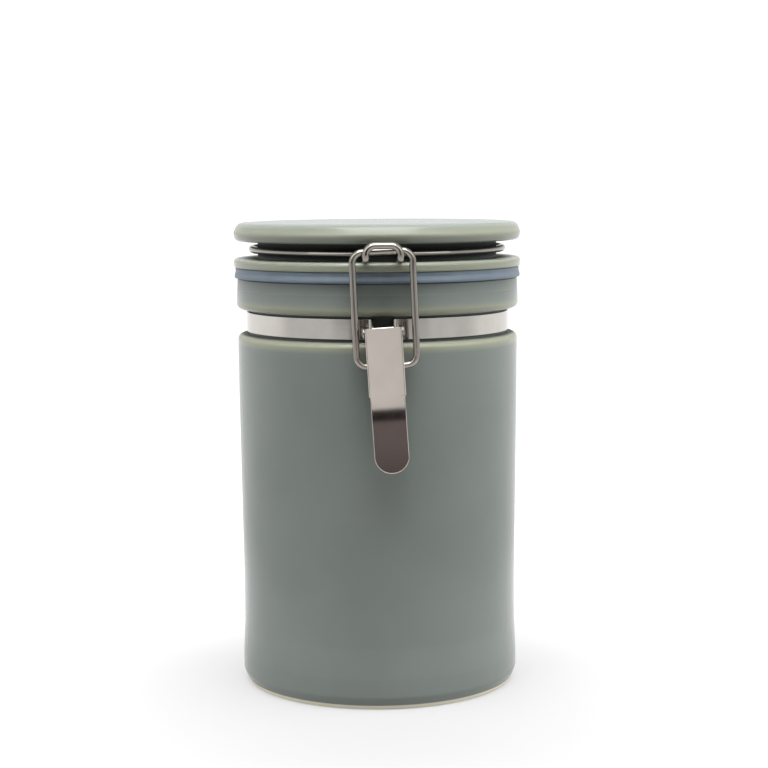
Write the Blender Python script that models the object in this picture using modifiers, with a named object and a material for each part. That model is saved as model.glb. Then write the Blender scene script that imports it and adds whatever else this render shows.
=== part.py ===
"""Tea canister: a glazed stoneware jar whose lid is held down by a wire clasp.

Run it with blender --background --python part.py, or from the text editor. Lengths are in metres,
+Z is up, the origin is the middle of the foot, and the clasp faces -Y.
"""

from math import asin, atan2, cos, pi, radians, sin, sqrt, tan

import bmesh
import bpy
from mathutils import Matrix, Vector

# General fits
SEAT_GAP = 0.0003  # between pieces that touch
SIDES = 60  # facets of each turned piece
WIRE_RESOLUTION = 2

# Jar body
JAR_RADIUS = 0.0425  # widest, just below the shoulder
SHOULDER_HEIGHT = 0.1073
FOOT_DRAW = 0.0003  # how much smaller the jar is just above its foot
WAIST_DRAW = 0.0008
WAIST_HEIGHT = 0.024
FOOT_CORNER = 0.0028
SHOULDER_CORNER = 0.0028
WALL = 0.0048
FLOOR = 0.006
FLOOR_CORNER = 0.005
NECK_STEP = 0.0035  # how far the neck lies inside the jar's wall
NECK_WALL = 0.0038
NECK_HEIGHT = 0.0066
COLLAR_OVERHANG = 0.00035
COLLAR_TAPER = 0.00045  # how much smaller the collar is at its top
COLLAR_HEIGHT = 0.0101
COLLAR_CORNER = 0.0030
RIM_CORNER = 0.0007

# Lid and its seal
GASKET_THICKNESS = 0.0027
GASKET_OVERHANG = 0.0005  # past the collar
GASKET_FLARE = 0.0005
LID_OVERHANG = 0.00065  # past the collar
FLANGE_THICKNESS = 0.0034
FLANGE_CORNER = 0.0020
FLANGE_LOWER_CORNER = 0.0007
GROOVE_HEIGHT = 0.0042
DISC_THICKNESS = 0.0055
DISC_UPPER_CORNER = 0.0034
DISC_LOWER_CORNER = 0.0018
DISC_UNDERCUT = 0.0003  # fall of the disc's underside towards its edge
PLUG_PLAY = 0.0009
PLUG_DEPTH = 0.0083
PLUG_TAPER = 0.0006
PLUG_WALL = 0.0043
PLUG_CORNER = 0.0012
LID_CROWN = 0.0054  # ceramic left above the hollow under the lid

# Wire round the lid, with its hook in front and its hinge ends behind
RING_INSET = 0.0055  # wire centre inside the lid's edge
RING_WIRE = 0.0020
HOOK_HALF_WIDTH = 0.00485
HOOK_DIP = 0.0022  # fall of the hook's trough below the ring
HOOK_RISE = 0.0016  # height of the hook's front bar above the ring
HOOK_LENGTH = 0.0031  # from the closed bail to the hook's front bar
HOOK_CORNER = 0.0026
HOOK_RUN_OUT = 0.0038  # level run from the ring before the wire falls into the trough
TROUGH_STANDOFF = 0.0014  # start of the trough, outside the lid
TROUGH_CORNER = 0.0017
RING_TURN = 0.0020  # bend where the ring turns out into the hook or the hinge arm
ARM_HALF_SPACING = 0.0080
HINGE_END_GAP = 0.0015

# Steel band round the neck
BAND_PLAY = 0.0004  # above the band, under the collar
BAND_THICKNESS = 0.0005
EAR_HALF_GAP = 0.0030
EAR_RADIUS = 0.00185  # round the pin
EAR_BEND = 0.0012

# Hinge plate behind
PLATE_THICKNESS = 0.0007
PLATE_WIDTH = 0.0112
PLATE_CLEARANCE = 0.0004
PLATE_BEND = 0.0015
BARREL_CLEARANCE = 0.0002
BARREL_LIP = 0.0005  # opening left where the barrel's roll ends

# Clasp lever and its pin
PIVOT_STANDOFF = 0.0017  # pin centre outside the lid
PIVOT_RISE = 0.0026  # pin centre above the band's lower edge
LEVER_LEAN = radians(3.4)  # the lever's foot hangs a little to the right
LEVER_WIDTH = 0.0105
LEVER_SHEET = 0.0007
LEVER_STANDOFF = 0.00215  # pin centre to the back of the lever's face
LEVER_HEAD = 0.0014  # above the pin's centre
LEVER_LUG = 0.0018  # top of the side walls, above the pin's centre
LEVER_CHANNEL = 0.0179
CHANNEL_CLEARANCE = 0.0004  # between the channel's back edges and the jar
CHANNEL_TAPER = 0.0055
CHANNEL_CORNER = 0.0011
TAB_WIDTH = 0.0098
TAB_STEP = 0.0006
TAB_LENGTH = 0.0218  # below the channel
BEND_DROP = 0.0042  # from the channel's end to the bend of the tab
TAB_FLARE = radians(8.0)
TAB_BEND_LENGTH = 0.0030
PIN_DIAMETER = 0.0018
PIN_HEAD_DIAMETER = 0.0039
PIN_HEAD_THICKNESS = 0.0009
PIN_CLEARANCE = 0.0002
HOLE_SIDES = 20

# Wire bail
BAIL_WIRE = 0.0020
BAIL_WIDTH = 0.0170  # between wire centres
BAIL_CORNER = 0.0030
BAIL_LEAN = radians(2.3)
BAIL_SHIFT = 0.0005  # the bail sits this far along its own pivot
BAIL_DROP = 0.0096  # pin centre to the bail's pivot
BAIL_INSET = 0.0006  # the closed bail's pivot lies this far inside the pin
BAIL_STANDOFF = 0.0024  # the closed bail's top bar, outside the lid
BAIL_HOLE_CLEARANCE = 0.00025
BAIL_END_GAP = 0.0004

# Radii that follow
FOOT_RADIUS = JAR_RADIUS - FOOT_DRAW
WAIST_RADIUS = JAR_RADIUS - WAIST_DRAW
NECK_RADIUS = JAR_RADIUS - NECK_STEP
MOUTH_RADIUS = NECK_RADIUS - NECK_WALL
COLLAR_RADIUS = JAR_RADIUS + COLLAR_OVERHANG
GASKET_RADIUS = COLLAR_RADIUS + GASKET_OVERHANG
LID_RADIUS = COLLAR_RADIUS + LID_OVERHANG
RING_RADIUS = LID_RADIUS - RING_INSET
PLUG_RADIUS = MOUTH_RADIUS - PLUG_PLAY
BAND_RADIUS = NECK_RADIUS + SEAT_GAP + BAND_THICKNESS / 2
WIDEST = max(LID_RADIUS, GASKET_RADIUS, COLLAR_RADIUS)

# Heights that follow
COLLAR_BOTTOM = SHOULDER_HEIGHT + NECK_HEIGHT
RIM_HEIGHT = COLLAR_BOTTOM + COLLAR_HEIGHT
GASKET_BOTTOM = RIM_HEIGHT + SEAT_GAP
GASKET_TOP = GASKET_BOTTOM + GASKET_THICKNESS
FLANGE_BOTTOM = GASKET_TOP + SEAT_GAP
FLANGE_TOP = FLANGE_BOTTOM + FLANGE_THICKNESS
DISC_BOTTOM = FLANGE_TOP + GROOVE_HEIGHT
LID_TOP = DISC_BOTTOM + DISC_THICKNESS
RING_HEIGHT = (FLANGE_TOP + DISC_BOTTOM) / 2
PLUG_BOTTOM = FLANGE_BOTTOM - PLUG_DEPTH
BAND_BOTTOM = SHOULDER_HEIGHT + SEAT_GAP
BAND_HEIGHT = NECK_HEIGHT - SEAT_GAP - BAND_PLAY
PIVOT_HEIGHT = BAND_BOTTOM + PIVOT_RISE
TROUGH_HEIGHT = RING_HEIGHT - HOOK_DIP
BAIL_TOP_HEIGHT = TROUGH_HEIGHT + RING_WIRE / 2 + SEAT_GAP + BAIL_WIRE / 2

# How far the fittings stand from the canister's axis
PIVOT_REACH = WIDEST + PIVOT_STANDOFF
TROUGH_START = WIDEST + TROUGH_STANDOFF
BAIL_TOP_REACH = WIDEST + BAIL_STANDOFF
HOOK_REACH = BAIL_TOP_REACH + HOOK_LENGTH
JAR_BEHIND_CHANNEL = sqrt(JAR_RADIUS**2 - (LEVER_WIDTH / 2) ** 2)
CHANNEL_DEPTH = PIVOT_REACH - JAR_BEHIND_CHANNEL - CHANNEL_CLEARANCE
BARREL_RADIUS = RING_WIRE / 2 + BARREL_CLEARANCE + PLATE_THICKNESS / 2
PLATE_REACH = WIDEST + PLATE_CLEARANCE + PLATE_THICKNESS / 2
HINGE_REACH = PLATE_REACH + BARREL_RADIUS

# Joint axes, as points on them
LID_HINGE = Vector((0.0, HINGE_REACH, RING_HEIGHT))
LEVER_PIVOT = Vector((0.0, -PIVOT_REACH, PIVOT_HEIGHT))
LEVER_TURN = Matrix.Rotation(-LEVER_LEAN, 4, "Y")
BAIL_TURN = Matrix.Rotation(-BAIL_LEAN, 4, "Y")
BAIL_PIVOT = LEVER_PIVOT + LEVER_TURN @ Vector((0.0, BAIL_INSET, -BAIL_DROP))

COLLECTION_NAME = "tea_canister"


def clear_scene():
    for obj in list(bpy.data.objects):
        bpy.data.objects.remove(obj)


def new_collection(name):
    collection = bpy.data.collections.new(name)
    bpy.context.scene.collection.children.link(collection)
    return collection


def material(name, colour, roughness, metallic=0.0):
    made = bpy.data.materials.new(name)
    made.use_nodes = True
    shader = made.node_tree.nodes["Principled BSDF"]
    shader.inputs["Base Color"].default_value = (*colour, 1.0)
    shader.inputs["Roughness"].default_value = roughness
    shader.inputs["Metallic"].default_value = metallic
    return made


def arc(centre, radius, start, end, steps):
    """Points on a circle in a plane, from one angle to another, both included."""
    angles = [start + (end - start) * i / steps for i in range(steps + 1)]
    return [(centre[0] + radius * cos(a), centre[1] + radius * sin(a)) for a in angles]


def rounded(points, radii, steps=5):
    """The polyline through the points, with an arc of each radius in place of its corner."""
    path = [points[0]]
    for before, corner, after, radius in zip(points, points[1:], points[2:], radii[1:]):
        back = (before - corner).normalized()
        ahead = (after - corner).normalized()
        half = back.angle(ahead) / 2
        if radius == 0 or half > radians(89):
            path.append(corner)
            continue
        middle = corner + (back + ahead).normalized() * radius / sin(half)
        start = corner + back * radius / tan(half)
        sweep = pi - 2 * half
        across = (start - middle).normalized()
        along = -back
        for i in range(steps + 1):
            angle = sweep * i / steps
            path.append(middle + radius * (across * cos(angle) + along * sin(angle)))
    return path + [points[-1]]


def smooth_step(share):
    share = min(max(share, 0.0), 1.0)
    return share * share * (3 - 2 * share)


def link(name, mesh, finish, collection, place=None):
    """A new object whose mesh is in world coordinates, with its origin moved to its joint."""
    obj = bpy.data.objects.new(name, mesh)
    if place is not None:
        mesh.transform(Matrix.Translation(-place))
        obj.location = place
    mesh.materials.clear()
    mesh.materials.append(finish)
    collection.objects.link(obj)
    return obj


def smooth(mesh, angle=radians(35)):
    mesh.shade_smooth()
    mesh.set_sharp_from_angle(angle=angle)


def evaluated_mesh(obj):
    graph = bpy.context.evaluated_depsgraph_get()
    graph.update()
    mesh = bpy.data.meshes.new_from_object(obj.evaluated_get(graph))
    mesh.transform(obj.matrix_world)
    return mesh


def turned(name, profile, finish, collection, closed=False, place=None, sides=SIDES):
    """A solid of revolution about Z from a profile of (radius, height) points."""
    mesh = bpy.data.meshes.new(name)
    builder = bmesh.new()
    verts = [builder.verts.new((radius, 0.0, height)) for radius, height in profile]
    for first, second in zip(verts, verts[1:]):
        builder.edges.new((first, second))
    if closed:
        builder.edges.new((verts[-1], verts[0]))
    builder.to_mesh(mesh)
    builder.free()
    obj = link(name, mesh, finish, collection, place)
    screw = obj.modifiers.new("Turn", "SCREW")
    screw.axis = "Z"
    if place is not None:
        axis = bpy.data.objects.new(name + "_turning_axis", None)
        collection.objects.link(axis)
        screw.object = axis
    screw.steps = sides
    screw.render_steps = sides
    screw.use_merge_vertices = True
    screw.merge_threshold = 0.00001
    screw.use_smooth_shade = True
    obj.modifiers.new("Flat faces stay flat", "WEIGHTED_NORMAL")
    return obj


def wire(name, points, diameter, finish, collection, place=None):
    """A round wire along a polyline, with closed ends, as one mesh."""
    curve = bpy.data.curves.new(name, "CURVE")
    curve.dimensions = "3D"
    curve.bevel_depth = diameter / 2
    curve.bevel_resolution = WIRE_RESOLUTION
    curve.use_fill_caps = True
    spline = curve.splines.new("POLY")
    spline.points.add(len(points) - 1)
    for target, point in zip(spline.points, points):
        target.co = (*point, 1.0)
    guide = bpy.data.objects.new(name + "_guide", curve)
    collection.objects.link(guide)
    mesh = evaluated_mesh(guide)
    builder = bmesh.new()
    builder.from_mesh(mesh)
    bmesh.ops.remove_doubles(builder, verts=builder.verts, dist=0.000001)
    bmesh.ops.recalc_face_normals(builder, faces=builder.faces)
    builder.to_mesh(mesh)
    builder.free()
    bpy.data.objects.remove(guide)
    smooth(mesh)
    return link(name, mesh, finish, collection, place)


def prism(outline, thickness):
    """A mesh builder holding a flat outline of 3-D points, thickened by the given vector."""
    builder = bmesh.new()
    face = builder.faces.new([builder.verts.new(point) for point in outline])
    grown = bmesh.ops.extrude_face_region(builder, geom=[face])
    moved = [item for item in grown["geom"] if isinstance(item, bmesh.types.BMVert)]
    bmesh.ops.translate(builder, verts=moved, vec=thickness)
    bmesh.ops.recalc_face_normals(builder, faces=builder.faces)
    return builder


def cylinder_cutter(name, centre, turn, radius, length, cutters):
    """A cylinder along X, turned with the piece that passes through the hole."""
    builder = bmesh.new()
    bmesh.ops.create_cone(
        builder, cap_ends=True, segments=HOLE_SIDES, radius1=radius, radius2=radius, depth=length
    )
    mesh = bpy.data.meshes.new(name)
    builder.to_mesh(mesh)
    builder.free()
    cutter = bpy.data.objects.new(name, mesh)
    cutter.matrix_world = Matrix.Translation(centre) @ turn @ Matrix.Rotation(pi / 2, 4, "Y")
    cutter.hide_render = True
    cutter.display_type = "WIRE"
    cutters.objects.link(cutter)
    return cutter


def boolean(obj, other, operation="DIFFERENCE"):
    modifier = obj.modifiers.new(operation.title() + " " + other.name, "BOOLEAN")
    modifier.operation = operation
    modifier.solver = "EXACT"
    modifier.object = other


def body_radius(height):
    """Outer radius of the jar's wall, which is waisted by a fraction of a millimetre."""
    if height > WAIST_HEIGHT:
        top = SHOULDER_HEIGHT - SHOULDER_CORNER
        share = smooth_step((height - WAIST_HEIGHT) / (top - WAIST_HEIGHT))
        return WAIST_RADIUS + (JAR_RADIUS - WAIST_RADIUS) * share
    share = smooth_step((WAIST_HEIGHT - height) / (WAIST_HEIGHT - FOOT_CORNER))
    return WAIST_RADIUS + (FOOT_RADIUS - WAIST_RADIUS) * share


def canister_body(glaze, collection):
    inner = WAIST_RADIUS - WALL
    throat = SHOULDER_HEIGHT - SHOULDER_CORNER - WALL
    profile = [(0.0, FLOOR)]
    profile += arc((inner - FLOOR_CORNER, FLOOR + FLOOR_CORNER), FLOOR_CORNER, -pi / 2, 0.0, 4)
    profile += [(inner, throat), (MOUTH_RADIUS, throat + 2 * (inner - MOUTH_RADIUS))]
    profile += arc((MOUTH_RADIUS + RIM_CORNER, RIM_HEIGHT - RIM_CORNER), RIM_CORNER, pi, pi / 2, 2)
    top_radius = COLLAR_RADIUS - COLLAR_TAPER
    profile += arc((top_radius - RIM_CORNER, RIM_HEIGHT - RIM_CORNER), RIM_CORNER, pi / 2, 0.0, 2)
    low = (COLLAR_RADIUS - COLLAR_CORNER, COLLAR_BOTTOM + COLLAR_CORNER)
    profile += [(COLLAR_RADIUS, low[1] + (RIM_HEIGHT - low[1]) * 0.3)]
    profile += arc(low, COLLAR_CORNER, 0.0, -pi / 2, 5)
    profile += [(NECK_RADIUS, COLLAR_BOTTOM), (NECK_RADIUS, SHOULDER_HEIGHT)]
    edge = (JAR_RADIUS - SHOULDER_CORNER, SHOULDER_HEIGHT - SHOULDER_CORNER)
    profile += arc(edge, SHOULDER_CORNER, pi / 2, 0.0, 4)
    rings = 7
    for i in range(1, rings):
        height = edge[1] + (FOOT_CORNER - edge[1]) * i / rings
        profile.append((body_radius(height), height))
    profile += arc((FOOT_RADIUS - FOOT_CORNER, FOOT_CORNER), FOOT_CORNER, 0.0, -pi / 2, 4)
    profile.append((0.0, 0.0))
    return turned("canister_body", profile, glaze, collection)


def lid(glaze, collection):
    groove = RING_RADIUS - RING_WIRE / 2 - SEAT_GAP
    hollow = PLUG_RADIUS - PLUG_WALL
    ceiling = LID_TOP - LID_CROWN
    profile = [(0.0, LID_TOP)]
    corner = (LID_RADIUS - DISC_UPPER_CORNER, LID_TOP - DISC_UPPER_CORNER)
    profile += arc(corner, DISC_UPPER_CORNER, pi / 2, 0.0, 5)
    edge = DISC_BOTTOM + DISC_UNDERCUT
    corner = (LID_RADIUS - DISC_LOWER_CORNER, edge + DISC_LOWER_CORNER)
    profile += arc(corner, DISC_LOWER_CORNER, 0.0, -pi / 2, 3)
    profile += [(groove, DISC_BOTTOM), (groove, FLANGE_TOP)]
    corner = (LID_RADIUS - FLANGE_CORNER, FLANGE_TOP - FLANGE_CORNER)
    profile += arc(corner, FLANGE_CORNER, pi / 2, 0.0, 3)
    corner = (LID_RADIUS - FLANGE_LOWER_CORNER, FLANGE_BOTTOM + FLANGE_LOWER_CORNER)
    profile += arc(corner, FLANGE_LOWER_CORNER, 0.0, -pi / 2, 2)
    profile += [(PLUG_RADIUS, FLANGE_BOTTOM), (PLUG_RADIUS, FLANGE_BOTTOM - PLUG_DEPTH / 2)]
    low = PLUG_RADIUS - PLUG_TAPER
    corner = (low - PLUG_CORNER, PLUG_BOTTOM + PLUG_CORNER)
    profile += arc(corner, PLUG_CORNER, 0.0, -pi / 2, 3)
    profile += [(hollow, PLUG_BOTTOM), (hollow, ceiling - PLUG_CORNER)]
    profile += [(hollow - PLUG_CORNER, ceiling), (0.0, ceiling)]
    return turned("lid", profile, glaze, collection, place=LID_HINGE)


def lid_gasket(silicone, collection):
    inner = PLUG_RADIUS + SEAT_GAP
    top = GASKET_RADIUS - GASKET_FLARE
    chamfer = GASKET_THICKNESS / 9
    profile = [
        (top, GASKET_TOP),
        (top + GASKET_FLARE / 4, GASKET_BOTTOM + GASKET_THICKNESS * 0.62),
        (GASKET_RADIUS, GASKET_BOTTOM + GASKET_THICKNESS * 0.25),
        (GASKET_RADIUS, GASKET_BOTTOM + chamfer),
        (GASKET_RADIUS - chamfer, GASKET_BOTTOM),
        (inner, GASKET_BOTTOM),
        (inner, GASKET_TOP),
    ]
    return turned("lid_gasket", profile, silicone, collection, closed=True, place=LID_HINGE)


def lid_ring_wire(steel, collection):
    """One wire: hinge end, arm, half ring, hook, and the same again on the other side."""
    arm_y = sqrt(RING_RADIUS**2 - ARM_HALF_SPACING**2)
    hook_y = sqrt(RING_RADIUS**2 - HOOK_HALF_WIDTH**2)
    rear = atan2(ARM_HALF_SPACING, arm_y)
    front = pi - atan2(HOOK_HALF_WIDTH, hook_y)
    spacing = 2.2 * RING_TURN / RING_RADIUS
    bends = 30
    half = [(Vector((HINGE_END_GAP, HINGE_REACH, RING_HEIGHT)), 0.0)]
    half.append((Vector((ARM_HALF_SPACING, HINGE_REACH, RING_HEIGHT)), RING_TURN))
    half.append((Vector((ARM_HALF_SPACING, arm_y, RING_HEIGHT)), RING_TURN))
    for i in range(bends + 1):
        angle = rear + spacing + (front - rear - 2 * spacing) * i / bends
        x, y = RING_RADIUS * sin(angle), RING_RADIUS * cos(angle)
        half.append((Vector((x, y, RING_HEIGHT)), 0.0))
    half.append((Vector((HOOK_HALF_WIDTH, -hook_y, RING_HEIGHT)), RING_TURN))
    leave = hook_y + HOOK_RUN_OUT
    top = RING_HEIGHT + HOOK_RISE
    half.append((Vector((HOOK_HALF_WIDTH, -leave, RING_HEIGHT - HOOK_DIP / 8)), RING_WIRE))
    half.append((Vector((HOOK_HALF_WIDTH, -TROUGH_START, TROUGH_HEIGHT)), RING_WIRE))
    half.append((Vector((HOOK_HALF_WIDTH, -HOOK_REACH, TROUGH_HEIGHT)), TROUGH_CORNER))
    half.append((Vector((HOOK_HALF_WIDTH, -HOOK_REACH, top)), HOOK_CORNER))
    mirrored = [(Vector((-p.x, p.y, p.z)), r) for p, r in reversed(half)]
    points, radii = zip(*(half + mirrored))
    path = rounded(list(points), list(radii))
    return wire("lid_ring_wire", path, RING_WIRE, steel, collection, LID_HINGE)


def ear_edge(reach, full):
    """Distance of the band's upper or lower edge from the pin's height, at this reach in front."""
    start = BAND_RADIUS + EAR_BEND
    near = PIVOT_REACH - EAR_RADIUS / 2
    if reach > near:
        return sqrt(max(EAR_RADIUS**2 - (reach - PIVOT_REACH) ** 2, (EAR_RADIUS / 5) ** 2))
    share = max(reach - start, 0.0) / (near - start)
    return full + (EAR_RADIUS * sin(pi / 3) - full) * share


def neck_band(steel, collection, cutters):
    """A strip round the neck whose two ends turn out into the ears that carry the lever's pin."""
    ends = [PIVOT_REACH + EAR_RADIUS * cos(radians(angle)) for angle in range(10, 121, 22)]
    corner_y = sqrt(BAND_RADIUS**2 - EAR_HALF_GAP**2)
    start = asin(EAR_HALF_GAP / BAND_RADIUS) + 2.0 * EAR_BEND / BAND_RADIUS
    half = [(Vector((EAR_HALF_GAP, -reach, 0.0)), 0.0) for reach in ends]
    half.append((Vector((EAR_HALF_GAP, -corner_y, 0.0)), EAR_BEND))
    facets = SIDES // 2
    for i in range(facets + 1):
        angle = start + (pi - start) * i / facets
        half.append((Vector((BAND_RADIUS * sin(angle), -BAND_RADIUS * cos(angle), 0.0)), 0.0))
    mirrored = [(Vector((-p.x, p.y, p.z)), r) for p, r in reversed(half[:-1])]
    points, radii = zip(*(half + mirrored))
    below = PIVOT_HEIGHT - BAND_BOTTOM
    strip = bmesh.new()
    pairs = []
    for point in rounded(list(points), list(radii), 4):
        low = PIVOT_HEIGHT - ear_edge(-point.y, below)
        high = PIVOT_HEIGHT + ear_edge(-point.y, BAND_HEIGHT - below)
        pairs.append([strip.verts.new((point.x, point.y, height)) for height in (low, high)])
    for (low, high), (next_low, next_high) in zip(pairs, pairs[1:]):
        strip.faces.new((low, next_low, next_high, high))
    mesh = bpy.data.meshes.new("neck_band")
    strip.to_mesh(mesh)
    strip.free()
    smooth(mesh)
    band = link("neck_band", mesh, steel, collection)
    solidify = band.modifiers.new("Sheet", "SOLIDIFY")
    solidify.thickness = BAND_THICKNESS
    solidify.offset = 0.0
    solidify.use_even_offset = True
    hole = PIN_DIAMETER / 2 + PIN_CLEARANCE
    boolean(band, cylinder_cutter("ear_hole", LEVER_PIVOT, LEVER_TURN, hole, LEVER_WIDTH, cutters))
    return band


def hinge_plate(steel, collection):
    """A plate on the band's back, bent clear of the collar and rolled round the wire's ends."""
    low = BAND_RADIUS + BAND_THICKNESS / 2 + SEAT_GAP + PLATE_THICKNESS / 2
    corner = (COLLAR_RADIUS - COLLAR_CORNER, COLLAR_BOTTOM + COLLAR_CORNER)
    away = COLLAR_CORNER + PLATE_CLEARANCE + PLATE_THICKNESS / 2
    bend_z = corner[1] + (low - corner[0]) - away * sqrt(2)
    path = [
        Vector((0.0, low, BAND_BOTTOM)),
        Vector((0.0, low, bend_z)),
        Vector((0.0, PLATE_REACH, bend_z + PLATE_REACH - low)),
        Vector((0.0, PLATE_REACH, RING_HEIGHT)),
    ]
    path = rounded(path, [0.0, PLATE_BEND, PLATE_BEND, 0.0], 4)
    opening = asin(min((PLATE_THICKNESS + BARREL_LIP) / BARREL_RADIUS, 1.0))
    roll = arc((HINGE_REACH, RING_HEIGHT), BARREL_RADIUS, pi, -pi + opening + 0.35, 16)
    path += [Vector((0.0, y, z)) for y, z in roll[1:]]
    strip = bmesh.new()
    verts = [strip.verts.new(point - Vector((PLATE_WIDTH / 2, 0.0, 0.0))) for point in path]
    edges = [strip.edges.new(pair) for pair in zip(verts, verts[1:])]
    grown = bmesh.ops.extrude_edge_only(strip, edges=edges)
    moved = [item for item in grown["geom"] if isinstance(item, bmesh.types.BMVert)]
    bmesh.ops.translate(strip, verts=moved, vec=(PLATE_WIDTH, 0.0, 0.0))
    mesh = bpy.data.meshes.new("hinge_plate")
    strip.to_mesh(mesh)
    strip.free()
    smooth(mesh)
    plate = link("hinge_plate", mesh, steel, collection)
    solidify = plate.modifiers.new("Sheet", "SOLIDIFY")
    solidify.thickness = PLATE_THICKNESS
    solidify.offset = 0.0
    solidify.use_even_offset = True
    return plate


def lever_face():
    """The lever's face and thumb tab as one outline, bent outwards along the tab."""
    half = LEVER_WIDTH / 2
    tab = TAB_WIDTH / 2
    front = -LEVER_STANDOFF
    tip = -LEVER_CHANNEL - TAB_LENGTH
    right = [(half, LEVER_HEAD), (half, -LEVER_CHANNEL), (tab, -LEVER_CHANNEL - TAB_STEP)]
    outline = right + arc((0.0, tip + tab), tab, 0.0, -pi, 14)
    outline += [(-x, z) for x, z in reversed(right)]
    builder = prism([(x, front, z) for x, z in outline], Vector((0.0, -LEVER_SHEET, 0.0)))
    steps = 6
    top = TAB_BEND_LENGTH / 2 - LEVER_CHANNEL - BEND_DROP
    for i in range(steps + 1):
        height = top - TAB_BEND_LENGTH * i / steps
        bmesh.ops.bisect_plane(
            builder,
            geom=builder.verts[:] + builder.edges[:] + builder.faces[:],
            plane_co=(0.0, 0.0, height),
            plane_no=(0.0, 0.0, 1.0),
        )
    radius = TAB_BEND_LENGTH / TAB_FLARE
    for vert in builder.verts:
        below = top - vert.co.z
        if below <= 0:
            continue
        angle = min(below, TAB_BEND_LENGTH) / radius
        past = max(below - TAB_BEND_LENGTH, 0.0)
        depth = vert.co.y - front
        swing = radius + depth
        vert.co.y = front - radius + swing * cos(angle) - past * sin(angle)
        vert.co.z = top - swing * sin(angle) - past * cos(angle)
    return builder


def lever_side(side):
    """One side wall of the lever's channel, which fades out towards the tab."""
    root = -LEVER_STANDOFF - LEVER_SHEET / 2
    foot = -LEVER_CHANNEL
    corners = [
        (root, LEVER_HEAD, 0.0),
        (-LEVER_LUG / 2, LEVER_LUG, CHANNEL_CORNER),
        (LEVER_LUG / 2, LEVER_LUG, CHANNEL_CORNER),
        (CHANNEL_DEPTH, 0.0, CHANNEL_CORNER),
        (CHANNEL_DEPTH, foot + CHANNEL_TAPER, 2 * CHANNEL_CORNER),
        (root + LEVER_SHEET, foot, 0.0),
        (root, foot, 0.0),
    ]
    outline = rounded([Vector((0.0, y, z)) for y, z, _ in corners], [r for _, _, r in corners], 3)
    inner = side * (LEVER_WIDTH / 2 - LEVER_SHEET)
    outline = [point + Vector((inner, 0.0, 0.0)) for point in outline]
    return prism(outline, Vector((side * LEVER_SHEET, 0.0, 0.0)))


def clasp_lever(steel, collection, cutters):
    lever = None
    place = Matrix.Translation(LEVER_PIVOT) @ LEVER_TURN
    for name, builder in (
        ("clasp_lever", lever_face()),
        ("lever_right_side", lever_side(1)),
        ("lever_left_side", lever_side(-1)),
    ):
        mesh = bpy.data.meshes.new(name)
        builder.to_mesh(mesh)
        builder.free()
        smooth(mesh)
        if lever is None:
            lever = link(name, mesh, steel, collection)
            lever.matrix_world = place
            continue
        side = link(name, mesh, steel, cutters)
        side.matrix_world = place
        side.hide_render = True
        side.display_type = "WIRE"
        boolean(lever, side, "UNION")
    hole = PIN_DIAMETER / 2 + PIN_CLEARANCE
    reach = 2 * LEVER_WIDTH
    boolean(lever, cylinder_cutter("pin_hole", LEVER_PIVOT, LEVER_TURN, hole, reach, cutters))
    hole = BAIL_WIRE / 2 + BAIL_HOLE_CLEARANCE
    boolean(lever, cylinder_cutter("bail_hole", BAIL_PIVOT, LEVER_TURN, hole, reach, cutters))
    return lever


def lever_pin(steel, collection):
    """A pin through the ears and the lever, headed at both ends."""
    shank = PIN_DIAMETER / 2
    head = PIN_HEAD_DIAMETER / 2
    inside = LEVER_WIDTH / 2 + PIN_CLEARANCE
    outside = inside + PIN_HEAD_THICKNESS
    upper = [(0.0, outside), (head * 0.55, outside - PIN_HEAD_THICKNESS * 0.08)]
    upper += [(head * 0.88, outside - PIN_HEAD_THICKNESS * 0.35)]
    upper += [(head, outside - PIN_HEAD_THICKNESS * 0.75), (head, inside), (shank, inside)]
    profile = upper + [(radius, -height) for radius, height in reversed(upper)]
    pin = turned("lever_pin", profile, steel, collection, sides=HOLE_SIDES)
    pin.matrix_world = (
        Matrix.Translation(LEVER_PIVOT) @ LEVER_TURN @ Matrix.Rotation(pi / 2, 4, "Y")
    )
    return pin


def bail_wire(steel, collection):
    """A closed loop whose ends meet inside the lever."""
    half = BAIL_WIDTH / 2
    rise = (BAIL_TOP_HEIGHT - BAIL_PIVOT.z) / cos(BAIL_LEAN)
    up = Vector((0.0, -BAIL_TOP_REACH - BAIL_PIVOT.y, rise))
    right = Vector((half, 0.0, 0.0))
    end = Vector((BAIL_END_GAP / 2, 0.0, 0.0))
    corners = [end, right, right + up, up - right, -right, -end]
    radii = [0.0, BAIL_CORNER, BAIL_CORNER, BAIL_CORNER, BAIL_CORNER, 0.0]
    shift = Vector((BAIL_SHIFT, 0.0, 0.0))
    path = [BAIL_PIVOT + BAIL_TURN @ (shift + point) for point in rounded(corners, radii, 6)]
    return wire("bail_wire", path, BAIL_WIRE, steel, collection, BAIL_PIVOT)


def joint_axis(name, point, turn, children, collection):
    """An empty on a joint's axis, which carries the pieces that move with it."""
    axis = bpy.data.objects.new(name, None)
    axis.empty_display_size = LEVER_WIDTH
    axis.matrix_world = Matrix.Translation(point) @ turn
    collection.objects.link(axis)
    bpy.context.view_layer.update()
    for child in children:
        child.parent = axis
        child.matrix_parent_inverse = axis.matrix_world.inverted()
    return axis


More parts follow.
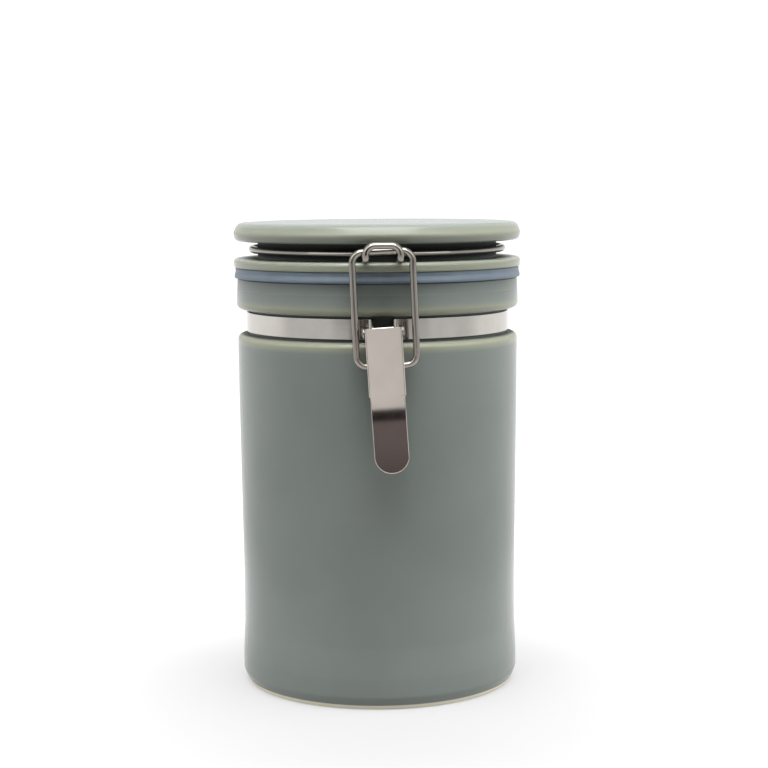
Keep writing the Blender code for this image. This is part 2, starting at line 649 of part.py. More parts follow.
def main():
    clear_scene()
    parts = new_collection(COLLECTION_NAME)
    cutters = new_collection(COLLECTION_NAME + "_cutters")
    glaze = material("grey green glaze", (0.182, 0.205, 0.180), 0.32)
    silicone = material("blue grey silicone", (0.170, 0.215, 0.260), 0.5)
    spring_wire = material("bright steel wire", (0.55, 0.53, 0.50), 0.22, 1.0)
    strip = material("rolled steel strip", (0.55, 0.52, 0.49), 0.28, 1.0)
    pressed = material("pressed steel sheet", (0.56, 0.53, 0.49), 0.34, 1.0)
    canister_body(glaze, parts)
    neck_band(strip, parts, cutters)
    hinge_plate(strip, parts)
    lid_group = [
        lid(glaze, parts),
        lid_gasket(silicone, parts),
        lid_ring_wire(spring_wire, parts),
    ]
    lever_group = [clasp_lever(pressed, parts, cutters), lever_pin(pressed, parts)]
    bail = bail_wire(spring_wire, parts)
    joint_axis("lid_hinge_axis", LID_HINGE, Matrix.Identity(4), lid_group, parts)
    lever_axis = joint_axis("lever_axis", LEVER_PIVOT, LEVER_TURN, lever_group, parts)
    bail_axis = joint_axis("bail_axis", BAIL_PIVOT, BAIL_TURN, [bail], parts)
    bail_axis.parent = lever_axis
    bail_axis.matrix_parent_inverse = lever_axis.matrix_world.inverted()


main()
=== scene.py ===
from math import asin, cos, pi, radians, sin, sqrt, tan

import bmesh
import bpy
from mathutils import Matrix, Vector


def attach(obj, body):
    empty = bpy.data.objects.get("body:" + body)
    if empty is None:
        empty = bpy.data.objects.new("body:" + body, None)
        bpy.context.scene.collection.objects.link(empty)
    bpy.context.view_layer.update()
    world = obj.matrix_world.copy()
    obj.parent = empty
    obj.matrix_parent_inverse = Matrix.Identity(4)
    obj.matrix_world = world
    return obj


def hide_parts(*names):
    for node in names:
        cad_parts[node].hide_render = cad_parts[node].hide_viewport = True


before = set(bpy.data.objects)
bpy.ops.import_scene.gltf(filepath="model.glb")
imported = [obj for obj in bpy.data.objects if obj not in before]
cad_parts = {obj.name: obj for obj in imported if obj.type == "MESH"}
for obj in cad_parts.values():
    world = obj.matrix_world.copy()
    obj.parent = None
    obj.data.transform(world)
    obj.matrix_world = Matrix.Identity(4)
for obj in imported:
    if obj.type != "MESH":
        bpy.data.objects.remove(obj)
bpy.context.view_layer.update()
mm = 0.001
print("frame loaded")


# colours, nodes and small mesh tools, all sizes in millimetres

def linear(hexColour):
    parts = [int(hexColour[i:i + 2], 16) / 255 for i in (1, 3, 5)]
    return [c / 12.92 if c <= 0.04045 else ((c + 0.055) / 1.055) ** 2.4 for c in parts] + [1.0]


def addNode(tree, kind, settings=None, links=None):
    node = tree.nodes.new(kind)
    for name, value in (settings or {}).items():
        if name == "stops":  # the places and colours along a ramp
            for element, (spot, colour) in zip(node.color_ramp.elements, value):
                element.position = spot
                element.color = linear(colour) if isinstance(colour, str) else colour
        elif isinstance(name, str) and hasattr(node, name):
            setattr(node, name, value)
        else:
            node.inputs[name].default_value = linear(value) if isinstance(value, str) else value
    for name, socket in (links or {}).items():
        tree.links.new(socket, node.inputs[name])
    return node


def newMaterial(name, settings):
    material = bpy.data.materials.new(name)
    material.use_nodes = True
    tree = material.node_tree
    shader = tree.nodes["Principled BSDF"]
    for socket, value in settings.items():
        shader.inputs[socket].default_value = linear(value) if isinstance(value, str) else value
    return material, tree, shader


def chain(bm, corners, closed=False):  # a run of straight edges through the corners
    verts = [bm.verts.new(Vector(corner[:3]) * mm) for corner in corners]
    for first, second in zip(verts, verts[1:]):
        bm.edges.new((first, second))
    if closed:
        bm.edges.new((verts[-1], verts[0]))
    return verts


def bevelVert(bm, vert, offset, segments):
    bmesh.ops.bevel(bm, geom=[vert], offset=offset, segments=segments, profile=0.5,
                    affect="VERTICES", material=-1)


def roundCorner(bm, vert, radius, segments=6, share=0.49):
    ends = [edge.other_vert(vert).co - vert.co for edge in vert.link_edges]
    if radius <= 0 or len(ends) != 2:
        return
    half = ends[0].angle(ends[1]) / 2
    if half > radians(89):  # as good as straight
        return
    bevelVert(bm, vert, min(radius * mm / tan(half), share * min(end.length for end in ends)), segments)


def cutLongEdges(bm, spacing):
    for edge in list(bm.edges):
        cuts = int(edge.calc_length() / (spacing * mm))
        if cuts:
            bmesh.ops.subdivide_edges(bm, edges=[edge], cuts=cuts)


def spinRound(bm, steps):
    bmesh.ops.spin(bm, geom=bm.verts[:] + bm.edges[:], cent=(0, 0, 0), axis=(0, 0, 1), dvec=(0, 0, 0),
                   angle=2 * pi, steps=steps, use_merge=True, use_duplicate=False)


def newVerts(grown):  # the vertices among what an operator made
    return [item for item in grown if isinstance(item, bmesh.types.BMVert)]


def cutFaces(bm, faces, point, normal, clear=False):  # along a plane, and away beyond it if clear
    geometry = list({item for face in faces for item in (*face.verts, *face.edges)}) + faces
    bmesh.ops.bisect_plane(bm, geom=geometry, plane_co=Vector(point) * mm, plane_no=normal,
                           clear_outer=clear)


def tidyFaces(bm):
    bmesh.ops.remove_doubles(bm, verts=bm.verts, dist=0.001 * mm)
    bmesh.ops.recalc_face_normals(bm, faces=bm.faces)


def toObject(bm, name, material):
    mesh = bpy.data.meshes.new(name)
    bm.to_mesh(mesh)
    bm.free()
    piece = bpy.data.objects.new(name, mesh)
    bpy.context.scene.collection.objects.link(piece)
    if material:
        mesh.materials.append(material)
    return piece


def applied(piece):  # its modifiers made part of its mesh
    graph = bpy.context.evaluated_depsgraph_get()
    mesh = bpy.data.meshes.new_from_object(piece.evaluated_get(graph))
    piece.modifiers.clear()
    piece.data = mesh
    return piece


def shade(piece, angle=35):
    piece.data.shade_smooth()
    piece.data.set_sharp_from_angle(angle=radians(angle))


def holdFlat(piece, narrow=0, least=0.8, rim=0.07):  # a thin rim keeps wide faces flat beside edges
    bm = bmesh.new()
    bm.from_mesh(piece.data)
    wide = [face for face in bm.faces if face.calc_area() > least * mm ** 2
            and min(edge.calc_length() for edge in face.edges) > narrow * mm]
    bmesh.ops.inset_region(bm, faces=wide, thickness=rim * mm, use_boundary=True, use_even_offset=True)
    bm.to_mesh(piece.data)
    bm.free()


def fit(piece, body, node):
    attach(piece, body)
    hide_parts(node)
    print(piece.name, "made,", len(piece.data.polygons), "faces")


# stoneware: profiles run from the axis outside to inside, (radius, height, rounding)

jar = {
    "profile": [
        (0, 0.35, 0), (36.2, 0.35, 0.3), (36.7, 0, 0.25), (40.5, 0, 0.2), (41.1, 1.2, 0.3),
        (42.15, 3.5, 2.6), (42.14, 9, 6), (41.7, 18, 20), (41.72, 32, 20), (42.05, 60, 40),
        (42.42, 88, 40), (42.5, 106.8, 2.9), (39.0, 106.8, 0.3), (39.0, 114.3, 0.25),
        (42.85, 114.4, 3.0), (42.42, 123.7, 0.5), (35.2, 123.7, 0.7), (35.2, 103.2, 4),
        (36.9, 99.6, 6), (36.9, 6.0, 5), (0, 6.0, 0),
    ],
    # radius, height, reach and strength
    # pale rings: thinner glaze at the collar's lower edge, and a painted highlight along the shoulder's
    # edge
    "thinGlazeAndHighlight": [(42.6, 114.9, 3.2, 0.75), (41.75, 105.5, 2.4, 0.8)],
    # dark rings of painted shade: in the neck under the band, on the shoulder below it and at the collar's
    # top under the seal
    "paintedShadeRings": [(39.0, 110.5, 6.5, 1.0), (40.1, 107.0, 2.4, 0.9), (42.4, 122.6, 6.0, 0.18)],
    "steps": 160, "spacing": 1.6,
}
lid = {
    "profile": [
        (0, 135.0, 0), (30.0, 135.0, 1.4), (30.0, 119.0, 0.7), (33.7, 119.0, 1.2),
        (34.3, 123.2, 1.5), (34.3, 127.0, 0.2), (43.35, 126.9, 0.35), (43.5, 129.6, 1.9),
        (36.2, 129.6, 0.3), (36.2, 134.7, 0.3), (43.0, 134.8, 1.5), (43.55, 137.1, 2.2),
        (42.3, 140.15, 2.6), (38.0, 140.4, 12), (0, 140.4, 0),
    ],
    # pale rings: thinner glaze on the flange's edges and the top's rounded rim, partly a painted highlight
    # along the flange's upper edge and the rim
    "thinGlazeAndHighlight": [(43.0, 129.3, 2.4, 0.45), (43.3, 127.5, 2.6, 0.6), (43.4, 137.4, 4.2, 0.48)],
    # a dark ring of painted shade in the groove under the top, where the wire lies
    "paintedShadeRings": [(36.2, 132.2, 7.0, 1.0)],
    "steps": 160, "spacing": 1.2,
}


# the rings are thinner glaze, painted highlight or painted shade
def paintRings(bm, name, rings):  # paints a soft ring round each edge or groove
    layer = bm.verts.layers.float.new(name)
    for vert in bm.verts:
        spot = Vector((vert.co.xy.length, vert.co.z)) / mm
        for radius, height, reach, strength in rings:
            share = max(1 - (spot - Vector((radius, height))).length / reach, 0)
            vert[layer] = max(vert[layer], strength * share * share * (3 - 2 * share))


def turnedPiece(name, shape, material, closed=False):
    bm = bmesh.new()
    verts = chain(bm, [(radius, 0, height) for radius, height, _ in shape["profile"]], closed)
    for vert, (_, _, rounding) in zip(verts, shape["profile"]):
        roundCorner(bm, vert, rounding)
    cutLongEdges(bm, shape["spacing"])
    spinRound(bm, shape["steps"])
    tidyFaces(bm)
    # pale rings of thinner glaze and painted highlight, dark rings of painted shade
    for layer in ("thinGlazeAndHighlight", "paintedShadeRings"):
        if layer in shape:
            paintRings(bm, layer, shape[layer])
    piece = toObject(bm, name, material)
    shade(piece)
    return piece


# semi-gloss celadon glaze on stoneware, fired on: smooth glassy surface, pale where it thins; the same
# pale colour paints highlights on some edges, and a near-black colour paints shade in grooves and under
# overhangs
glaze = {
    # the pale colour is thinner glaze and also painted highlight, the near-black one is painted shade
    "body": "#707773", "cloud": "#6b736e", "thinAndHighlight": "#98997f", "paintedShade": "#161916", "clay": "#e1dbc6",
    "roughness": 0.2, "bareRoughness": 0.85, "fade": 0.25,
    "cloudSize": 30, "peelSize": 2.2, "peelDepth": 0.02, "peelStrength": 0.025,
    "jarFoot": 1.1, "lidFoot": -10,  # clay is bare below this height; the lid has none
}


def stonewareGlaze(name, footHeight):
    material, tree, shader = newMaterial(name, {"IOR": 1.5})
    spot = addNode(tree, "ShaderNodeTexCoord").outputs["Object"]
    cloud = addNode(tree, "ShaderNodeTexNoise", {"Scale": 1 / (glaze["cloudSize"] * mm), "Detail": 3.0},
                    {"Vector": spot})
    base = addNode(tree, "ShaderNodeValToRGB", {"stops": [(0.35, glaze["cloud"]), (0.65, glaze["body"])]},
                   {"Fac": cloud.outputs["Fac"]})
    # paler glaze where it thins at edges, partly a painted highlight
    thinAndHighlight = addNode(tree, "ShaderNodeAttribute", {"attribute_name": "thinGlazeAndHighlight"})
    edges = addNode(tree, "ShaderNodeMix", {"data_type": "RGBA", 7: glaze["thinAndHighlight"]},
                    {0: thinAndHighlight.outputs["Fac"], 6: base.outputs["Color"]})
    # painted shade: near-black in the grooves, under the band and under the seal
    paintedShade = addNode(tree, "ShaderNodeAttribute", {"attribute_name": "paintedShadeRings"})
    edges = addNode(tree, "ShaderNodeMix", {"data_type": "RGBA", 7: glaze["paintedShade"]},
                    {0: paintedShade.outputs["Fac"], 6: edges.outputs[2]})
    height = addNode(tree, "ShaderNodeSeparateXYZ", {}, {"Vector": spot})
    bare = addNode(tree, "ShaderNodeMapRange",
                   {"From Min": footHeight * mm, "From Max": (footHeight + glaze["fade"]) * mm,
                    "To Min": 1.0, "To Max": 0.0}, {"Value": height.outputs["Z"]})
    whole = addNode(tree, "ShaderNodeMix", {"data_type": "RGBA", 7: glaze["clay"]},
                    {0: bare.outputs["Result"], 6: edges.outputs[2]})
    tree.links.new(whole.outputs[2], shader.inputs["Base Color"])
    # bare clay and the rings of painted shade are matt
    matt = addNode(tree, "ShaderNodeMath", {"operation": "MAXIMUM"},
                   {0: bare.outputs["Result"], 1: paintedShade.outputs["Fac"]})
    dull = addNode(tree, "ShaderNodeMapRange",
                   {"To Min": glaze["roughness"], "To Max": glaze["bareRoughness"]},
                   {"Value": matt.outputs["Value"]})
    tree.links.new(dull.outputs["Result"], shader.inputs["Roughness"])
    peel = addNode(tree, "ShaderNodeTexNoise", {"Scale": 1 / (glaze["peelSize"] * mm), "Detail": 1.0},
                   {"Vector": spot})
    bump = addNode(tree, "ShaderNodeBump",
                   {"Strength": glaze["peelStrength"], "Distance": glaze["peelDepth"] * mm},
                   {"Height": peel.outputs["Fac"]})
    tree.links.new(bump.outputs["Normal"], shader.inputs["Normal"])
    return material


jarGlaze = stonewareGlaze("celadon glaze on stoneware jar", glaze["jarFoot"])
lidGlaze = stonewareGlaze("celadon glaze on stoneware lid", glaze["lidFoot"])
fit(turnedPiece("stonewareJar", jar, jarGlaze), "canister", "canister_body")
fit(turnedPiece("stonewareLid", lid, lidGlaze), "lid", "lid")


# silicone seal, a moulded ring that flares at its lower edge

seal = {
    "profile": [
        (34.62, 123.75, 0.1), (43.3, 123.75, 0.15), (43.3, 124.5, 0.3), (43.0, 125.6, 0.6),
        (43.0, 126.8, 0.15), (34.62, 126.8, 0.1),
    ],
    "steps": 160, "spacing": 2.5,
    "dark": "#5b6771", "light": "#636f7a", "smooth": 0.36, "dusty": 0.48, "dustSize": 4, "glow": 0.08,
}


def mouldedSilicone():
    # platinum-cured silicone rubber, satin from the mould, a little light goes into it
    material, tree, shader = newMaterial(
        "moulded silicone rubber", {"IOR": 1.41, "Subsurface Weight": seal["glow"],
                                    "Subsurface Radius": (0.4, 0.5, 0.6), "Subsurface Scale": mm})
    spot = addNode(tree, "ShaderNodeTexCoord").outputs["Object"]
    dust = addNode(tree, "ShaderNodeTexNoise", {"Scale": 1 / (seal["dustSize"] * mm), "Detail": 3.0},
                   {"Vector": spot})
    tone = addNode(tree, "ShaderNodeValToRGB", {"stops": [(0.3, seal["dark"]), (0.7, seal["light"])]},
                   {"Fac": dust.outputs["Fac"]})
    tree.links.new(tone.outputs["Color"], shader.inputs["Base Color"])
    rough = addNode(tree, "ShaderNodeMapRange", {"To Min": seal["smooth"], "To Max": seal["dusty"]},
                    {"Value": dust.outputs["Fac"]})
    tree.links.new(rough.outputs["Result"], shader.inputs["Roughness"])
    return material


fit(turnedPiece("siliconeSeal", seal, mouldedSilicone(), closed=True), "lid", "lid_gasket")


# stainless steel: drawn wire, rolled strip and pressed sheet

steel = {
    "wire": {"colour": "#9d9891", "roughness": 0.08, "grain": 0.02, "stretch": (1, 1, 1)},
    "strip": {"colour": "#c6c2bc", "roughness": 0.15, "grain": 0.04, "stretch": (0.1, 0.1, 1)},
    "sheet": {"colour": "#d8cfc6", "roughness": 0.10, "grain": 0.02, "stretch": (1, 1, 1)},
    "lineSize": 0.5, "wearSize": 6, "worn": (0.92, 0.91, 0.91, 1),
}


def stainless(name, look):
    # 18/8 stainless steel; the die, rolls or tumbling leave fine lines that blur what it mirrors
    material, tree, shader = newMaterial(name, {"Metallic": 1.0})
    spot = addNode(tree, "ShaderNodeTexCoord").outputs["Object"]
    along = addNode(tree, "ShaderNodeMapping", {"Scale": look["stretch"]}, {"Vector": spot})
    lines = addNode(tree, "ShaderNodeTexNoise", {"Scale": 1 / (steel["lineSize"] * mm), "Detail": 3.0},
                    {"Vector": along.outputs["Vector"]})
    wear = addNode(tree, "ShaderNodeTexNoise", {"Scale": 1 / (steel["wearSize"] * mm), "Detail": 4.0},
                   {"Vector": spot})
    worn = [channel * share for channel, share in zip(linear(look["colour"]), steel["worn"])]
    tone = addNode(tree, "ShaderNodeValToRGB", {"stops": [(0.3, worn), (0.7, look["colour"])]},
                   {"Fac": wear.outputs["Fac"]})
    tree.links.new(tone.outputs["Color"], shader.inputs["Base Color"])
    # the two noises add up to between 0.6 and 1.4 nearly everywhere
    both = addNode(tree, "ShaderNodeMath", {"operation": "ADD"},
                   {0: lines.outputs["Fac"], 1: wear.outputs["Fac"]})
    rough = addNode(tree, "ShaderNodeMapRange",
                    {"From Min": 0.6, "From Max": 1.4,
                     "To Min": look["roughness"] - look["grain"],
                     "To Max": look["roughness"] + look["grain"]}, {"Value": both.outputs["Value"]})
    tree.links.new(rough.outputs["Result"], shader.inputs["Roughness"])
    return material


drawnWire = stainless("drawn stainless wire", steel["wire"])
rolledStrip = stainless("rolled stainless strip", steel["strip"])
pressedSheet = stainless("pressed stainless sheet", steel["sheet"])


def drawWire(bm, name, thickness):  # sweeps a round wire along the chain in the mesh
    guide = toObject(bm, name, None)
    bpy.ops.object.select_all(action="DESELECT")
    guide.select_set(True)
    bpy.context.view_layer.objects.active = guide
    bpy.ops.object.convert(target="CURVE")
    guide.data.bevel_depth = thickness / 2 * mm
    guide.data.bevel_resolution = 5
    guide.data.use_fill_caps = True
    bpy.ops.object.convert(target="MESH")
    guide.data.materials.clear()
    guide.data.materials.append(drawnWire)
    bm = bmesh.new()
    bm.from_mesh(guide.data)
    tidyFaces(bm)
    bm.to_mesh(guide.data)
    bm.free()
    shade(guide, 50)
    return guide


# the lid's wire: a ring in the groove, a hook in front and two hinge ends behind

ringWire = {
    "radius": 38.0, "height": 132.8, "thickness": 2.0, "hookHalf": 4.85, "armHalf": 8.0,
    "hinge": 45.8, "endGap": 1.5, "turn": 2.0, "runOut": 3.8, "dip": 2.2, "troughStart": 44.9,
    "reach": 49.0, "rise": 1.8, "sag": 0.9, "turnRoom": 2.2, "steps": 60,
}


def lidWire():
    w = ringWire
    hookY, armY = (sqrt(w["radius"] ** 2 - half ** 2) for half in (w["hookHalf"], w["armHalf"]))
    bm = bmesh.new()
    low, top = w["height"] - w["dip"], w["height"] + w["rise"]
    x, z = w["hookHalf"], w["height"]
    # the hook's corners with their rounding, from its tip back to the ring
    hook = [(0, -w["reach"], top, 0), (x, -w["reach"], top, 2.5), (x, -w["reach"], low, 1.4),
            (x, -w["troughStart"], low, 2), (x, -hookY - w["runOut"], z - w["sag"], 2),
            (x, -hookY, z, w["turn"])]
    front = chain(bm, hook)
    start, end = asin(x / w["radius"]), asin(w["armHalf"] / w["radius"])
    margin = w["turnRoom"] * w["turn"] / w["radius"]
    first = bm.verts.new(Matrix.Rotation(start + margin, 3, "Z") @ Vector((0, -w["radius"], z)) * mm)
    spun = bmesh.ops.spin(bm, geom=[first], cent=(0, 0, 0), axis=(0, 0, 1), dvec=(0, 0, 0),
                          angle=pi - start - end - 2 * margin, steps=w["steps"], use_duplicate=False)
    last = newVerts(spun["geom_last"])[0]
    x = w["armHalf"]
    rear = chain(bm, [(x, armY, z), (x, w["hinge"], z), (w["endGap"], w["hinge"], z)])
    bm.edges.new((front[-1], first))
    bm.edges.new((last, rear[0]))
    ring = [vert for vert in bm.verts if vert.co.y > -(hookY + 0.1) * mm]
    for vert in ring:  # the bail pulls the loose ring down in front
        vert.co.z -= w["sag"] * mm * (w["hinge"] * mm - vert.co.y) / ((w["hinge"] + w["radius"]) * mm)
    for vert, (_, _, _, rounding) in zip(front, hook):  # a tight bend may take more of its side
        roundCorner(bm, vert, rounding, share=0.96 if rounding < 1.5 else 0.62)
    for vert in rear[:2]:
        roundCorner(bm, vert, w["turn"])
    bmesh.ops.mirror(bm, geom=bm.verts[:] + bm.edges[:], matrix=Matrix.Identity(4),
                     merge_dist=0.01 * mm, axis="X")
    return drawWire(bm, "lidWire", w["thickness"])


fit(lidWire(), "lid", "lid_ring_wire")


# neck band: a strip whose ends turn out into two ears for the lever's pin

clasp = {"pin": (0, -45.2, 110.2), "hang": -3.4}  # its pin, and the degrees that it hangs to one side
pivot = Vector(clasp["pin"])
leverTurn = Matrix.Rotation(radians(clasp["hang"]), 4, "Y")
band = {
    "radius": 39.55, "sheet": 0.5, "low": 107.6, "high": 113.5, "steps": 90, "bend": 1.2,
    "earHalf": 3.0, "earRound": 1.85, "earAngles": range(8, 121, 14), "tipHalf": 0.37417,
    "edge": 0.1, "hole": 1.1,
}


def earEdge(reach, full):  # how far the strip's edge lies from the pin's height
    start, near = band["radius"] + band["bend"], -pivot.y - band["earRound"] / 2
    if reach > near:
        return sqrt(max(band["earRound"] ** 2 - (reach + pivot.y) ** 2, band["tipHalf"] ** 2))
    share = max(reach - start, 0) / (near - start)
    return full + (band["earRound"] * sin(pi / 3) - full) * share


def cutHole(piece, centre, radius):
    bm = bmesh.new()
    bmesh.ops.create_cone(bm, cap_ends=True, segments=40, radius1=radius * mm, radius2=radius * mm,
                          depth=20 * mm)  # longer than any piece is wide there
    turn = Matrix.Translation(centre * mm) @ leverTurn @ Matrix.Rotation(pi / 2, 4, "Y")
    bmesh.ops.transform(bm, matrix=turn, verts=bm.verts)
    cutter = toObject(bm, "cutter", None)
    cut = piece.modifiers.new("hole", "BOOLEAN")
    cut.object, cut.solver = cutter, "EXACT"
    applied(piece)
    bpy.data.objects.remove(cutter)


def thickened(piece, thickness, offset):
    sheet = piece.modifiers.new("sheet", "SOLIDIFY")
    sheet.thickness, sheet.offset, sheet.use_even_offset = thickness * mm, offset, True
    return applied(piece)


def softEdged(piece, width):
    bevel = piece.modifiers.new("edges", "BEVEL")
    bevel.width, bevel.segments = width * mm, 3
    bevel.limit_method, bevel.angle_limit = "ANGLE", radians(50)
    return applied(piece)


def neckBand():
    b = band
    bm = bmesh.new()
    tips = [-pivot.y + b["earRound"] * cos(radians(angle)) for angle in b["earAngles"]]
    cornerY = sqrt(b["radius"] ** 2 - b["earHalf"] ** 2)
    verts = chain(bm, [(b["earHalf"], -reach, 0) for reach in tips] + [(b["earHalf"], -cornerY, 0)])
    start = asin(b["earHalf"] / b["radius"]) + 2 * b["bend"] / b["radius"]
    first = bm.verts.new(Matrix.Rotation(start, 3, "Z") @ Vector((0, -b["radius"], 0)) * mm)
    bm.edges.new((verts[-1], first))
    bmesh.ops.spin(bm, geom=[first], cent=(0, 0, 0), axis=(0, 0, 1), dvec=(0, 0, 0),
                   angle=pi - start, steps=b["steps"], use_duplicate=False)
    roundCorner(bm, verts[-1], b["bend"])
    bmesh.ops.mirror(bm, geom=bm.verts[:] + bm.edges[:], matrix=Matrix.Identity(4),
                     merge_dist=0.01 * mm, axis="X")
    lower = list(bm.verts)
    grown = bmesh.ops.extrude_edge_only(bm, edges=bm.edges[:])["geom"]
    for vert in lower:
        vert.co.z = (pivot.z - earEdge(-vert.co.y / mm, pivot.z - b["low"])) * mm
    for vert in newVerts(grown):
        vert.co.z = (pivot.z + earEdge(-vert.co.y / mm, b["high"] - pivot.z)) * mm
    tidyFaces(bm)
    piece = softEdged(thickened(toObject(bm, "neckBand", rolledStrip), b["sheet"], 0), b["edge"])
    holdFlat(piece)
    cutHole(piece, pivot, b["hole"])
    shade(piece)
    return piece


fit(neckBand(), "canister", "neck_band")


# hinge plate: welded to the band behind, bent out past the collar and rolled round the wire

plate = {
    "sheet": 0.7, "width": 11.2, "low": 107.6, "inner": 40.45, "outer": 44.25, "jog": 112.0, "bend": 1.5,
    "hinge": 45.8, "height": 132.8, "rollFrom": 0.3, "rollAngle": 294, "rollSteps": 36, "edge": 0.1,
}


def hingePlate():
    p = plate
    bm = bmesh.new()
    half = p["width"] / 2
    rise = p["jog"] + p["outer"] - p["inner"]
    verts = chain(bm, [(-half, p["inner"], p["low"]), (-half, p["inner"], p["jog"]),
                       (-half, p["outer"], rise), (-half, p["outer"], p["height"] - p["rollFrom"])])
    first = bm.verts.new(Vector((-half, p["outer"], p["height"])) * mm)
    bm.edges.new((verts[-1], first))
    for vert in verts[1:3]:
        roundCorner(bm, vert, p["bend"])
    bmesh.ops.spin(bm, geom=[first], cent=Vector((0, p["hinge"], p["height"])) * mm, axis=(-1, 0, 0),
                   dvec=(0, 0, 0), angle=radians(p["rollAngle"]), steps=p["rollSteps"],
                   use_duplicate=False)
    grown = bmesh.ops.extrude_edge_only(bm, edges=bm.edges[:])["geom"]
    bmesh.ops.translate(bm, vec=(p["width"] * mm, 0, 0), verts=newVerts(grown))
    tidyFaces(bm)
    piece = softEdged(thickened(toObject(bm, "hingePlate", rolledStrip), p["sheet"], 0), p["edge"])
    holdFlat(piece)
    shade(piece)
    return piece


fit(hingePlate(), "canister", "hinge_plate")


# clasp lever: one folded sheet, measured from its pin

lever = {
    "width": 10.5, "sheet": 0.7, "front": -2.85, "back": 2.62, "head": 1.4, "lug": 1.8, "fold": 0.32,
    "foot": -17.9, "taper": 5.5, "tabWidth": 9.8, "step": 0.6, "tabEnd": -39.7, "tabSteps": 12,
    "lugSlope": (0, 0.62, 0.78), "lugBack": 0.2, "corner": 0.9, "cornerFrom": 1.4, "headFrom": 1.0,
    "lipHalf": 2.9, "lip": 0.14, "rim": 0.2, "edge": 0.2, "flatFrom": 0.45,
    "bendTop": -17.95, "bendLength": 8.3, "bendSteps": 12, "flare": 7.9,
    "pinHole": 1.1, "bailHole": 1.25, "bail": (0, 0.6, -9.6),
}


def leverSheet():
    v = lever
    half, tab = v["width"] / 2, v["tabWidth"] / 2
    bm = bmesh.new()
    across = [(-half, v["back"]), (-half, v["front"]), (half, v["front"]), (half, v["back"])]
    verts = chain(bm, [(x, y, v["foot"]) for x, y in across])
    for vert in verts[1:3]:
        roundCorner(bm, vert, v["fold"])
    frontEdge = max(bm.edges, key=lambda edge: -edge.verts[0].co.y - edge.verts[1].co.y)
    grown = bmesh.ops.extrude_edge_only(bm, edges=bm.edges[:])["geom"]
    bmesh.ops.translate(bm, verts=newVerts(grown), vec=(0, 0, (v["lug"] - v["foot"]) * mm))
    # the tab's neck is cut in a little, then the tab runs down to its round end
    grown = bmesh.ops.extrude_edge_only(bm, edges=[frontEdge])["geom"]
    neck = newVerts(grown)
    for vert in neck:
        vert.co = Vector((tab if vert.co.x > 0 else -tab, v["front"], v["foot"] - v["step"])) * mm
    neckEdge = next(item for item in grown if isinstance(item, bmesh.types.BMEdge)
                    and all(vert in neck for vert in item.verts))
    tip = newVerts(bmesh.ops.extrude_edge_only(bm, edges=[neckEdge])["geom"])
    bmesh.ops.translate(bm, verts=tip, vec=(0, 0, (v["tabEnd"] - v["foot"] + v["step"]) * mm))
    for vert in tip:
        bevelVert(bm, vert, tab * 0.999 * mm, v["tabSteps"])  # a little less than half the width
    bmesh.ops.remove_doubles(bm, verts=bm.verts, dist=0.02 * mm)
    return bm


def leverWalls(bm):
    return [face for face in bm.faces
            if abs(face.calc_center_median().x) > (lever["width"] / 2 - 0.05) * mm]


def shapeWalls(bm):  # the side walls fade out towards the tab, and their upper corners are round
    v = lever
    half = v["width"] / 2
    fade = (0, v["taper"], v["front"] + v["sheet"] - v["back"])
    cutFaces(bm, leverWalls(bm), (0, v["front"] + v["sheet"], v["foot"]), fade, clear=True)
    cutFaces(bm, leverWalls(bm), (0, v["back"], v["lugBack"]), v["lugSlope"], clear=True)
    for x in (-half, half):
        corners = [vert for vert in bm.verts if abs(vert.co.x - x * mm) < 0.01 * mm
                   and vert.is_boundary and vert.co.y > (v["front"] + v["cornerFrom"]) * mm]
        for vert in corners:
            bevelVert(bm, vert, v["corner"] * mm, 4)
    # the face's top edge is lower than the walls
    for vert in bm.verts:
        if vert.co.z > (v["lug"] - 0.01) * mm and vert.co.y < (v["front"] + v["headFrom"]) * mm:
            vert.co.z = v["head"] * mm


def growLip(bm):  # a narrow lip between the band's ears leans back over the pin
    v = lever
    top = (v["head"] - 0.01) * mm
    for x in (-v["lipHalf"], v["lipHalf"]):
        front = [face for face in bm.faces
                 if all(abs(vert.co.y - v["front"] * mm) < 0.01 * mm for vert in face.verts)
                 and max(vert.co.z for vert in face.verts) > top]
        cutFaces(bm, front, (x, 0, 0), (1, 0, 0))
    upper = [edge for edge in bm.edges if all(vert.co.z > top for vert in edge.verts)]
    middle = min(upper, key=lambda edge: abs(edge.verts[0].co.x + edge.verts[1].co.x))
    grown = bmesh.ops.extrude_edge_only(bm, edges=[middle])["geom"]
    bmesh.ops.translate(bm, verts=newVerts(grown), vec=(0, v["lip"] * mm, v["lip"] * mm))


def bendTab(bm):  # rounds the tab's rim and swings the tab forwards along an arc
    v = lever
    rim = [edge for edge in bm.edges if edge.calc_face_angle(0) > radians(50)
           and all(vert.co.z < (v["foot"] - v["step"] + 0.01) * mm for vert in edge.verts)]
    bmesh.ops.bevel(bm, geom=rim, offset=v["rim"] * mm, segments=4, profile=0.5,
                    affect="EDGES", material=-1)
    top, length, front = v["bendTop"] * mm, v["bendLength"] * mm, v["front"] * mm
    for i in range(v["bendSteps"] + 1):
        bmesh.ops.bisect_plane(bm, geom=bm.verts[:] + bm.edges[:] + bm.faces[:], plane_no=(0, 0, 1),
                               plane_co=(0, 0, top - length * i / v["bendSteps"]))
    radius = length / radians(v["flare"])
    for vert in bm.verts:
        below = top - vert.co.z
        if below <= 0:
            continue
        angle = min(below, length) / radius
        past = max(below - length, 0)
        swing = radius + vert.co.y - front
        vert.co.y = front - radius + swing * cos(angle) - past * sin(angle)
        vert.co.z = top - swing * sin(angle) - past * cos(angle)


